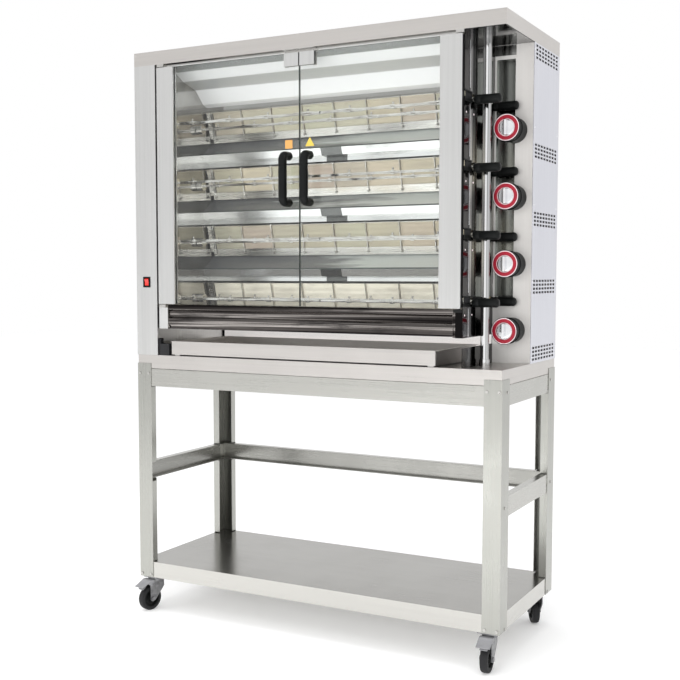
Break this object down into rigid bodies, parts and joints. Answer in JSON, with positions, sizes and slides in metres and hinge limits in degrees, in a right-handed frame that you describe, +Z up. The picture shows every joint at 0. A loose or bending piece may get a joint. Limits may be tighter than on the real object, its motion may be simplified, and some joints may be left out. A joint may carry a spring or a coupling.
{
  "type": "vertical rotisserie broiler",
  "caption": "Glass-fronted vertical rotisserie broiler: stacked ceramic gas burners, motor-driven fork spits, knobs at the right, drip tray, on an open rolling stand.",
  "frame": {"origin": "on the floor, under the centre of the cabinet", "axes": "+Z up, the glass doors face -Y, the control recess is at +X"},
  "size_m": [1.325, 0.616, 1.922],
  "materials": {
    "brushed_steel": "satin",
    "polished_steel": "polished",
    "burner_steel": "satin",
    "spit_steel": "polished",
    "ceramic": "matt",
    "chrome": "mirror",
    "zinc": "satin",
    "motor_paint": "satin",
    "brass": "satin",
    "black_plastic": "satin",
    "knob_red": "gloss",
    "rocker_red": "gloss",
    "glass": "clear",
    "rubber": "matt"
  },
  "bodies": {
    "root": {"stand_legs": "brushed_steel", "stand_rails": "brushed_steel", "stand_shelf": "brushed_steel", "caster_plates": "zinc", "base_pan": "brushed_steel", "top_cover": "brushed_steel", "motor_housing": "brushed_steel", "chamber_liner": "polished_steel", "right_wall": "polished_steel", "control_panel": "brushed_steel", "side_panel": "brushed_steel", "back_panel": "brushed_steel", "burner_housings": "burner_steel", "burner_tiles": "ceramic", "burner_guards": "burner_steel", "deflector_shelves": "polished_steel", "grease_gutter": "polished_steel", "corner_post": "chrome", "gear_motors": "motor_paint", "gas_manifold": "brass", "knob_bezels": "black_plastic", "brackets_and_fasteners": "brushed_steel"},
    "drive_1": {"drive_1": "zinc"},
    "spit_1": {"spit_1": "spit_steel"},
    "drive_2": {"drive_2": "zinc"},
    "spit_2": {"spit_2": "spit_steel"},
    "drive_3": {"drive_3": "zinc"},
    "spit_3": {"spit_3": "spit_steel"},
    "drive_4": {"drive_4": "zinc"},
    "spit_4": {"spit_4": "spit_steel"},
    "drive_5": {"drive_5": "zinc"},
    "spit_5": {"spit_5": "spit_steel"},
    "drive_6": {"drive_6": "zinc"},
    "spit_6": {"spit_6": "spit_steel"},
    "drive_7": {"drive_7": "zinc"},
    "spit_7": {"spit_7": "spit_steel"},
    "drive_8": {"drive_8": "zinc"},
    "spit_8": {"spit_8": "spit_steel"},
    "knob_1": {"knob_1": "knob_red"},
    "knob_2": {"knob_2": "knob_red"},
    "knob_3": {"knob_3": "knob_red"},
    "knob_4": {"knob_4": "knob_red"},
    "door_left": {"door_glass_left": "glass", "door_stile_left": "brushed_steel", "door_handle_left": "black_plastic"},
    "door_right": {"door_glass_right": "glass", "door_stile_right": "brushed_steel", "door_handle_right": "black_plastic"},
    "rocker": {"rocker": "rocker_red"},
    "drip_tray": {"drip_tray": "brushed_steel"},
    "caster_fork_fl": {"caster_fork_fl": "zinc"},
    "caster_wheel_fl": {"caster_wheel_fl": "rubber"},
    "brake_pedal_fl": {"brake_pedal_fl": "zinc"},
    "caster_fork_fr": {"caster_fork_fr": "zinc"},
    "caster_wheel_fr": {"caster_wheel_fr": "rubber"},
    "brake_pedal_fr": {"brake_pedal_fr": "zinc"},
    "caster_fork_bl": {"caster_fork_bl": "zinc"},
    "caster_wheel_bl": {"caster_wheel_bl": "rubber"},
    "caster_fork_br": {"caster_fork_br": "zinc"},
    "caster_wheel_br": {"caster_wheel_br": "rubber"}
  },
  "joints": [
    {"name": "drive_1_spin", "type": "hinge", "parent": "root", "child": "drive_1", "pos_m": [-0.56, -0.182, 1.09], "axis": [1, 0, 0], "continuous": true},
    {"name": "spit_1_pull", "type": "slide", "parent": "drive_1", "child": "spit_1", "axis": [1, 0, 0], "range_m": [0, 0.022]},
    {"name": "drive_2_spin", "type": "hinge", "parent": "root", "child": "drive_2", "pos_m": [-0.56, -0.027, 1.09], "axis": [1, 0, 0], "continuous": true},
    {"name": "spit_2_pull", "type": "slide", "parent": "drive_2", "child": "spit_2", "axis": [1, 0, 0], "range_m": [0, 0.022]},
    {"name": "drive_3_spin", "type": "hinge", "parent": "root", "child": "drive_3", "pos_m": [-0.56, -0.182, 1.289], "axis": [1, 0, 0], "continuous": true},
    {"name": "spit_3_pull", "type": "slide", "parent": "drive_3", "child": "spit_3", "axis": [1, 0, 0], "range_m": [0, 0.022]},
    {"name": "drive_4_spin", "type": "hinge", "parent": "root", "child": "drive_4", "pos_m": [-0.56, -0.027, 1.289], "axis": [1, 0, 0], "continuous": true},
    {"name": "spit_4_pull", "type": "slide", "parent": "drive_4", "child": "spit_4", "axis": [1, 0, 0], "range_m": [0, 0.022]},
    {"name": "drive_5_spin", "type": "hinge", "parent": "root", "child": "drive_5", "pos_m": [-0.56, -0.182, 1.488], "axis": [1, 0, 0], "continuous": true},
    {"name": "spit_5_pull", "type": "slide", "parent": "drive_5", "child": "spit_5", "axis": [1, 0, 0], "range_m": [0, 0.022]},
    {"name": "drive_6_spin", "type": "hinge", "parent": "root", "child": "drive_6", "pos_m": [-0.56, -0.027, 1.488], "axis": [1, 0, 0], "continuous": true},
    {"name": "spit_6_pull", "type": "slide", "parent": "drive_6", "child": "spit_6", "axis": [1, 0, 0], "range_m": [0, 0.022]},
    {"name": "drive_7_spin", "type": "hinge", "parent": "root", "child": "drive_7", "pos_m": [-0.56, -0.182, 1.687], "axis": [1, 0, 0], "continuous": true},
    {"name": "spit_7_pull", "type": "slide", "parent": "drive_7", "child": "spit_7", "axis": [1, 0, 0], "range_m": [0, 0.022]},
    {"name": "drive_8_spin", "type": "hinge", "parent": "root", "child": "drive_8", "pos_m": [-0.56, -0.027, 1.687], "axis": [1, 0, 0], "continuous": true},
    {"name": "spit_8_pull", "type": "slide", "parent": "drive_8", "child": "spit_8", "axis": [1, 0, 0], "range_m": [0, 0.022]},
    {"name": "knob_1_turn", "type": "hinge", "parent": "root", "child": "knob_1", "pos_m": [0.602, -0.062, 1.002], "axis": [0, -1, 0], "range_deg": [0, 180]},
    {"name": "knob_2_turn", "type": "hinge", "parent": "root", "child": "knob_2", "pos_m": [0.602, -0.062, 1.206], "axis": [0, -1, 0], "range_deg": [0, 180]},
    {"name": "knob_3_turn", "type": "hinge", "parent": "root", "child": "knob_3", "pos_m": [0.602, -0.062, 1.41], "axis": [0, -1, 0], "range_deg": [0, 180]},
    {"name": "knob_4_turn", "type": "hinge", "parent": "root", "child": "knob_4", "pos_m": [0.602, -0.062, 1.614], "axis": [0, -1, 0], "range_deg": [0, 180]},
    {"name": "door_left_swing", "type": "hinge", "parent": "root", "child": "door_left", "pos_m": [-0.558, -0.252, 1.47], "axis": [0, 0, -1], "range_deg": [0, 100]},
    {"name": "door_right_swing", "type": "hinge", "parent": "root", "child": "door_right", "pos_m": [0.519, -0.252, 1.47], "axis": [0, 0, 1], "range_deg": [0, 100]},
    {"name": "rocker_tilt", "type": "hinge", "parent": "root", "child": "rocker", "pos_m": [-0.617, -0.256, 1.148], "axis": [-1, 0, 0], "range_deg": [0, 20]},
    {"name": "drip_tray_slide", "type": "slide", "parent": "root", "child": "drip_tray", "axis": [0, -1, 0], "range_m": [0, 0.28]},
    {"name": "caster_fl_swivel", "type": "hinge", "parent": "root", "child": "caster_fork_fl", "pos_m": [-0.618, -0.228, 0.105], "axis": [0, 0, 1], "continuous": true},
    {"name": "caster_fl_roll", "type": "hinge", "parent": "caster_fork_fl", "child": "caster_wheel_fl", "pos_m": [-0.62477, -0.25517, 0.042], "axis": [0.9703, -0.2419, 0], "continuous": true},
    {"name": "brake_fl_press", "type": "hinge", "parent": "caster_fork_fl", "child": "brake_pedal_fl", "pos_m": [-0.62526, -0.25711, 0.094], "axis": [0.9703, -0.2419, 0], "range_deg": [0, 8]},
    {"name": "caster_fr_swivel", "type": "hinge", "parent": "root", "child": "caster_fork_fr", "pos_m": [0.618, -0.228, 0.105], "axis": [0, 0, 1], "continuous": true},
    {"name": "caster_fr_roll", "type": "hinge", "parent": "caster_fork_fr", "child": "caster_wheel_fr", "pos_m": [0.61995, -0.25593, 0.042], "axis": [0.9976, 0.0698, 0], "continuous": true},
    {"name": "brake_fr_press", "type": "hinge", "parent": "caster_fork_fr", "child": "brake_pedal_fr", "pos_m": [0.62009, -0.25793, 0.094], "axis": [0.9976, 0.0698, 0], "range_deg": [0, 8]},
    {"name": "caster_bl_swivel", "type": "hinge", "parent": "root", "child": "caster_fork_bl", "pos_m": [-0.618, 0.228, 0.105], "axis": [0, 0, 1], "continuous": true},
    {"name": "caster_bl_roll", "type": "hinge", "parent": "caster_fork_bl", "child": "caster_wheel_bl", "pos_m": [-0.61314, 0.20042, 0.042], "axis": [0.9848, 0.1736, 0], "continuous": true},
    {"name": "caster_br_swivel", "type": "hinge", "parent": "root", "child": "caster_fork_br", "pos_m": [0.618, 0.228, 0.105], "axis": [0, 0, 1], "continuous": true},
    {"name": "caster_br_roll", "type": "hinge", "parent": "caster_fork_br", "child": "caster_wheel_br", "pos_m": [0.604, 0.25225, 0.042], "axis": [-0.866, -0.5, 0], "continuous": true}
  ]
}
